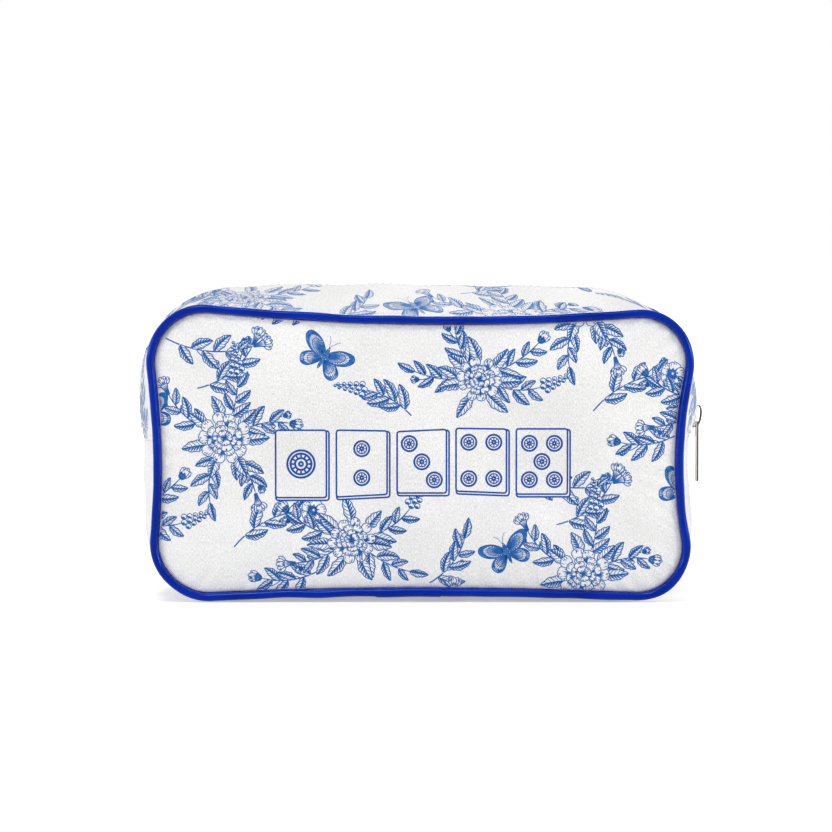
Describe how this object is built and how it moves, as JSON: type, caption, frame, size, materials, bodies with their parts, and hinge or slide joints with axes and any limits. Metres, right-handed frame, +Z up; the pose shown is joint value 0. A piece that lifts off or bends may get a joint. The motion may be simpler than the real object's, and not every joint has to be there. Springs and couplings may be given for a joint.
{
  "type": "mahjong tile bag",
  "caption": "Boxy quilted zip bag for game tiles: off-white canvas with a blue floral print, glossy blue piping round both panels, zip over the top with a metal pull.",
  "frame": {"origin": "on the floor under the middle of the bag, at the middle of its flat base", "axes": "+Z up, +X to the right seen from the front, the front panel faces -Y"},
  "size_m": [0.2528, 0.085, 0.1386],
  "materials": {
    "printed_canvas": "matte woven cotton canvas, off-white with a mid-blue print",
    "piping_vinyl": "glossy royal blue vinyl",
    "filler_cord": "twisted white cotton",
    "wadding": "soft white wadding",
    "lining": "plain woven lining",
    "binding": "woven bias tape",
    "zip_tape": "ribbed woven zip tape",
    "zip_coil": "nylon monofilament",
    "zip_metal": "dark nickel plate"
  },
  "bodies": {
    "bag": {"front_panel": "printed_canvas", "back_panel": "printed_canvas", "front_wadding": "wadding", "back_wadding": "wadding", "front_lining": "lining", "back_lining": "lining", "piping_front": "piping_vinyl", "piping_back": "piping_vinyl", "piping_cord_front": "filler_cord", "piping_cord_back": "filler_cord", "seam_binding_front": "binding", "seam_binding_back": "binding", "lower_gusset": "printed_canvas", "lower_gusset_wadding": "wadding", "lower_gusset_lining": "lining", "zip_strip_front": "printed_canvas", "zip_strip_back": "printed_canvas", "zip_strip_wadding_front": "wadding", "zip_strip_wadding_back": "wadding", "zip_strip_lining_front": "lining", "zip_strip_lining_back": "lining", "zip_tape_front": "zip_tape", "zip_tape_back": "zip_tape", "zip_coil_front": "zip_coil", "zip_coil_back": "zip_coil", "zip_top_stops": "zip_metal", "zip_bottom_stop": "zip_metal"},
    "slider": {"slider_body": "zip_metal", "slider_bridge": "zip_metal"},
    "pull": {"pull_tab": "zip_metal"}
  },
  "joints": [
    {"name": "zip_travel", "type": "hinge", "parent": "bag", "child": "slider", "pos_m": [0.073, 0, 0.0875], "axis": [0, -1, 0], "range_deg": [0, 86]},
    {"name": "tab_swing", "type": "hinge", "parent": "slider", "child": "pull", "pos_m": [0.12421, 0, 0.07673], "axis": [0, -1, 0], "range_deg": [0, 140]}
  ]
}
